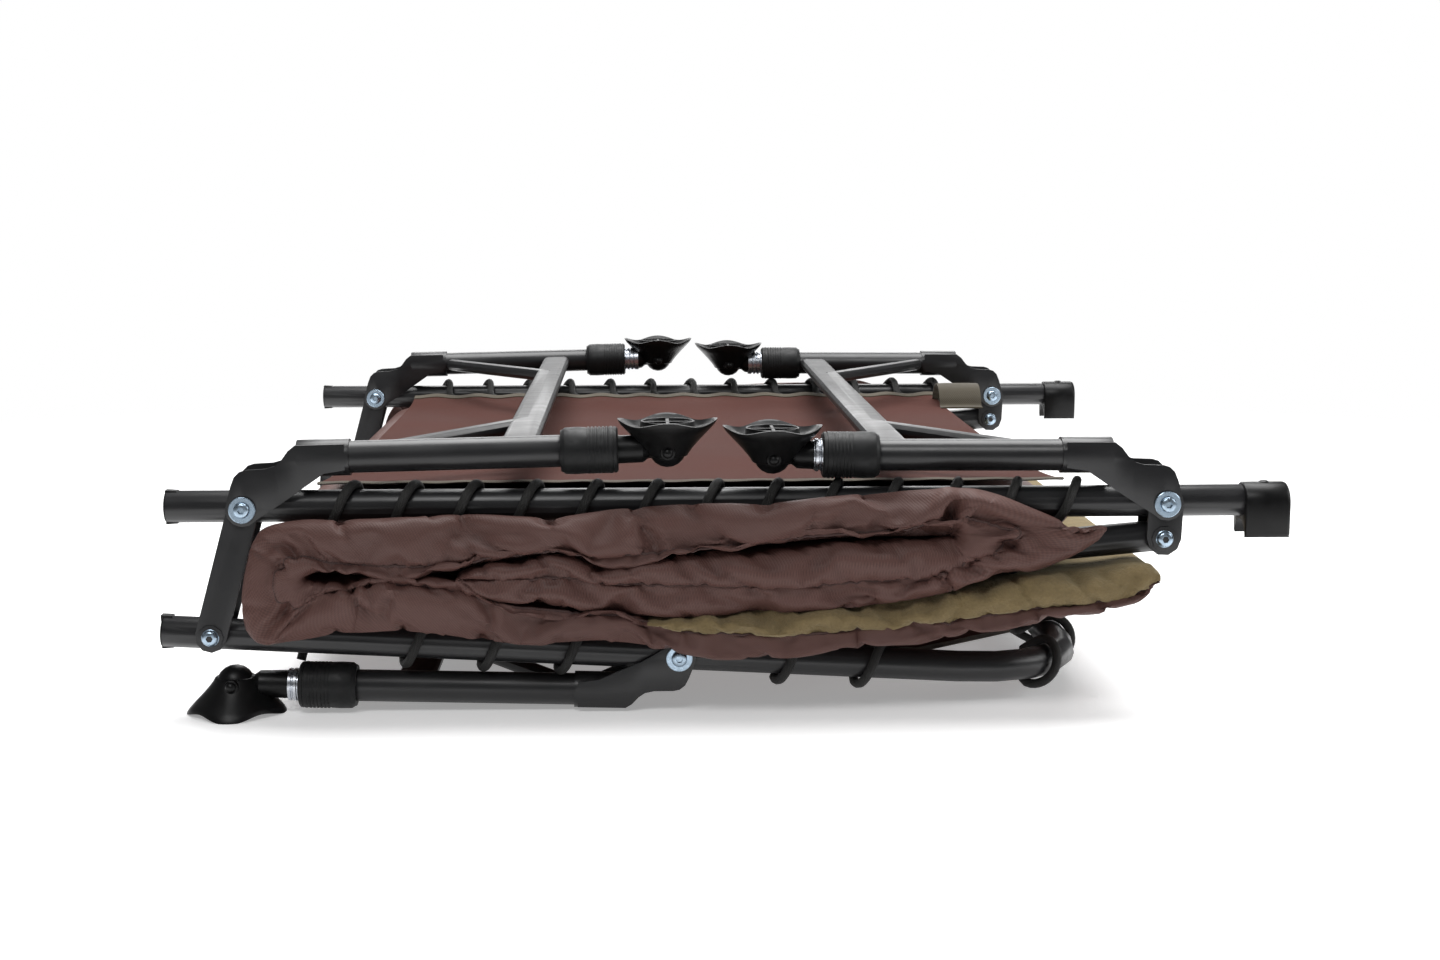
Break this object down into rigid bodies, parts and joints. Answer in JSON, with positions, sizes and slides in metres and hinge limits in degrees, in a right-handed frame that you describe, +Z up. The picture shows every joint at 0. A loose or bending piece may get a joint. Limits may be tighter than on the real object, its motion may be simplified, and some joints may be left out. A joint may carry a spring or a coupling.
{
  "type": "folding cot",
  "caption": "Folding cot lying folded upside down, with laced slings, a quilted fleece mattress, folding leg frames and pivoting mud feet on adjustable legs.",
  "frame": {"origin": "centre of the folded cot's footprint, on the floor", "axes": "+X along the cot towards the foot section's hinge, +Y across the cot towards the back rail, +Z up"},
  "size_m": [0.8752, 0.86, 0.2272],
  "materials": {
    "black_steel": "satin powder coat",
    "zinc_steel": "bright zinc plate",
    "black_plastic": "moulded, slightly glossy",
    "black_rubber": "matte",
    "brown_fabric": "coated woven polyester",
    "olive_fleece": "short fleece pile",
    "olive_tape": "woven tape",
    "black_cord": "braided elastic cord"
  },
  "bodies": {
    "mid_frame": {"mid_rail_front": "black_steel", "mid_rail_back": "black_steel", "mid_end_cap_front": "black_plastic", "mid_end_cap_back": "black_plastic", "saddle_front": "black_plastic", "saddle_back": "black_plastic", "foot_hinge_plate_front": "black_steel", "foot_hinge_plate_back": "black_steel", "left_pivot_bolt_front": "zinc_steel", "left_pivot_bolt_back": "zinc_steel", "right_pivot_bolt_front": "zinc_steel", "right_pivot_bolt_back": "zinc_steel", "mid_sling": "brown_fabric", "mid_mattress": "brown_fabric", "mid_lacing_front": "black_cord", "mid_lacing_back": "black_cord", "carry_strap": "olive_tape"},
    "head_links": {"head_link_front": "black_steel", "head_link_back": "black_steel"},
    "head_section": {"head_tube": "black_steel", "head_end_cap_front": "black_plastic", "head_end_cap_back": "black_plastic", "head_leg_bolt_front": "zinc_steel", "head_leg_bolt_back": "zinc_steel", "head_sling": "brown_fabric", "head_mattress": "olive_fleece", "head_lacing_front": "black_cord", "head_lacing_back": "black_cord", "head_lacing_end": "black_cord"},
    "foot_section": {"foot_tube": "black_steel", "foot_sling": "brown_fabric", "foot_mattress": "olive_fleece", "foot_lacing": "black_cord"},
    "left_leg_frame": {"left_leg_tube_front": "black_steel", "left_leg_tube_back": "black_steel", "left_leg_crossbar": "black_steel"},
    "left_inner_leg_front": {"left_inner_leg_front": "zinc_steel"},
    "left_collar_front": {"left_collar_front": "black_rubber"},
    "left_foot_front": {"left_foot_front": "black_plastic"},
    "left_inner_leg_back": {"left_inner_leg_back": "zinc_steel"},
    "left_collar_back": {"left_collar_back": "black_rubber"},
    "left_foot_back": {"left_foot_back": "black_plastic"},
    "right_leg_frame": {"right_leg_tube_front": "black_steel", "right_leg_tube_back": "black_steel", "right_leg_crossbar": "black_steel"},
    "right_inner_leg_front": {"right_inner_leg_front": "zinc_steel"},
    "right_collar_front": {"right_collar_front": "black_rubber"},
    "right_foot_front": {"right_foot_front": "black_plastic"},
    "right_inner_leg_back": {"right_inner_leg_back": "zinc_steel"},
    "right_collar_back": {"right_collar_back": "black_rubber"},
    "right_foot_back": {"right_foot_back": "black_plastic"},
    "head_leg_frame": {"head_leg_tube_front": "black_steel", "head_leg_tube_back": "black_steel", "head_leg_crossbar": "black_steel"},
    "head_inner_leg_front": {"head_inner_leg_front": "zinc_steel"},
    "head_collar_front": {"head_collar_front": "black_rubber"},
    "head_foot_front": {"head_foot_front": "black_plastic"},
    "head_inner_leg_back": {"head_inner_leg_back": "zinc_steel"},
    "head_collar_back": {"head_collar_back": "black_rubber"},
    "head_foot_back": {"head_foot_back": "black_plastic"}
  },
  "joints": [
    {"name": "head_fold", "type": "hinge", "parent": "head_links", "child": "head_section", "pos_m": [-0.3975, 0, 0.0625], "axis": [0, 1, 0], "range_deg": [0, 102.57]},
    {"name": "head_link_fold", "type": "hinge", "parent": "mid_frame", "child": "head_links", "pos_m": [-0.3695, 0, 0.162], "axis": [0, 1, 0], "range_deg": [0, 74.29]},
    {"name": "foot_fold", "type": "hinge", "parent": "mid_frame", "child": "foot_section", "pos_m": [0.3385, 0, 0.1344], "axis": [0, -1, 0], "range_deg": [0, 175.01]},
    {"name": "left_leg_fold", "type": "hinge", "parent": "mid_frame", "child": "left_leg_frame", "pos_m": [-0.3695, 0, 0.162], "axis": [0, -1, 0], "range_deg": [0, 100]},
    {"name": "left_inner_leg_front_slide", "type": "slide", "parent": "left_leg_frame", "child": "left_inner_leg_front", "axis": [0.9997, 0, 0.0227], "range_m": [0, 0.06]},
    {"name": "left_collar_front_twist", "type": "hinge", "parent": "left_leg_frame", "child": "left_collar_front", "pos_m": [-0.10638, -0.39, 0.20398], "axis": [0.9997, 0, 0.0227], "range_deg": [0, 90]},
    {"name": "left_foot_front_tilt", "type": "hinge", "parent": "left_inner_leg_front", "child": "left_foot_front", "pos_m": [-0.0464, -0.39, 0.20534], "axis": [0, 1, 0], "range_deg": [0, 100]},
    {"name": "left_inner_leg_back_slide", "type": "slide", "parent": "left_leg_frame", "child": "left_inner_leg_back", "axis": [0.9997, 0, 0.0227], "range_m": [0, 0.06]},
    {"name": "left_collar_back_twist", "type": "hinge", "parent": "left_leg_frame", "child": "left_collar_back", "pos_m": [-0.10638, 0.39, 0.20398], "axis": [0.9997, 0, 0.0227], "range_deg": [0, 90]},
    {"name": "left_foot_back_tilt", "type": "hinge", "parent": "left_inner_leg_back", "child": "left_foot_back", "pos_m": [-0.0464, 0.39, 0.20534], "axis": [0, 1, 0], "range_deg": [0, 100]},
    {"name": "right_leg_fold", "type": "hinge", "parent": "mid_frame", "child": "right_leg_frame", "pos_m": [0.3395, 0, 0.162], "axis": [0, 1, 0], "range_deg": [0, 100]},
    {"name": "right_inner_leg_front_slide", "type": "slide", "parent": "right_leg_frame", "child": "right_inner_leg_front", "axis": [-1, 0, 0.0052], "range_m": [0, 0.06]},
    {"name": "right_collar_front_twist", "type": "hinge", "parent": "right_leg_frame", "child": "right_collar_front", "pos_m": [0.09489, -0.39, 0.19928], "axis": [-1, 0, 0.0052], "range_deg": [0, 90]},
    {"name": "right_foot_front_tilt", "type": "hinge", "parent": "right_inner_leg_front", "child": "right_foot_front", "pos_m": [0.03469, -0.39, 0.1996], "axis": [0, -1, 0], "range_deg": [0, 100]},
    {"name": "right_inner_leg_back_slide", "type": "slide", "parent": "right_leg_frame", "child": "right_inner_leg_back", "axis": [-1, 0, 0.0052], "range_m": [0, 0.06]},
    {"name": "right_collar_back_twist", "type": "hinge", "parent": "right_leg_frame", "child": "right_collar_back", "pos_m": [0.09489, 0.39, 0.19928], "axis": [-1, 0, 0.0052], "range_deg": [0, 90]},
    {"name": "right_foot_back_tilt", "type": "hinge", "parent": "right_inner_leg_back", "child": "right_foot_back", "pos_m": [0.03469, 0.39, 0.1996], "axis": [0, -1, 0], "range_deg": [0, 100]},
    {"name": "head_leg_fold", "type": "hinge", "parent": "head_section", "child": "head_leg_frame", "pos_m": [-0.03804, 0, 0.04272], "axis": [0, -1, 0], "range_deg": [0, 100]},
    {"name": "head_inner_leg_front_slide", "type": "slide", "parent": "head_leg_frame", "child": "head_inner_leg_front", "axis": [-0.9996, 0, 0.0272], "range_m": [0, 0.1]},
    {"name": "head_collar_front_twist", "type": "hinge", "parent": "head_leg_frame", "child": "head_collar_front", "pos_m": [-0.31075, -0.39, 0.02063], "axis": [-0.9996, 0, 0.0272], "range_deg": [0, 90]},
    {"name": "head_foot_front_tilt", "type": "hinge", "parent": "head_inner_leg_front", "child": "head_foot_front", "pos_m": [-0.38272, -0.39, 0.02259], "axis": [0, 1, 0], "range_deg": [0, 100]},
    {"name": "head_inner_leg_back_slide", "type": "slide", "parent": "head_leg_frame", "child": "head_inner_leg_back", "axis": [-0.9996, 0, 0.0272], "range_m": [0, 0.1]},
    {"name": "head_collar_back_twist", "type": "hinge", "parent": "head_leg_frame", "child": "head_collar_back", "pos_m": [-0.31075, 0.39, 0.02063], "axis": [-0.9996, 0, 0.0272], "range_deg": [0, 90]},
    {"name": "head_foot_back_tilt", "type": "hinge", "parent": "head_inner_leg_back", "child": "head_foot_back", "pos_m": [-0.38272, 0.39, 0.02259], "axis": [0, 1, 0], "range_deg": [0, 100]}
  ],
  "couplings": [
    {"joint": "head_link_fold", "follows": "head_fold", "ratio": 0.72422},
    {"joint": "foot_fold", "follows": "head_fold", "ratio": 1.7062},
    {"joint": "left_foot_front_tilt", "follows": "left_leg_fold", "ratio": 1},
    {"joint": "left_inner_leg_front_slide", "follows": "left_leg_fold", "m_per_rad": 0.03432},
    {"joint": "left_foot_back_tilt", "follows": "left_leg_fold", "ratio": 1},
    {"joint": "left_inner_leg_back_slide", "follows": "left_leg_fold", "m_per_rad": 0.03432},
    {"joint": "right_foot_front_tilt", "follows": "right_leg_fold", "ratio": 1},
    {"joint": "right_inner_leg_front_slide", "follows": "right_leg_fold", "m_per_rad": 0.03432},
    {"joint": "right_foot_back_tilt", "follows": "right_leg_fold", "ratio": 1},
    {"joint": "right_inner_leg_back_slide", "follows": "right_leg_fold", "m_per_rad": 0.03432},
    {"joint": "head_foot_front_tilt", "follows": "head_leg_fold", "ratio": 1},
    {"joint": "head_foot_back_tilt", "follows": "head_leg_fold", "ratio": 1}
  ]
}
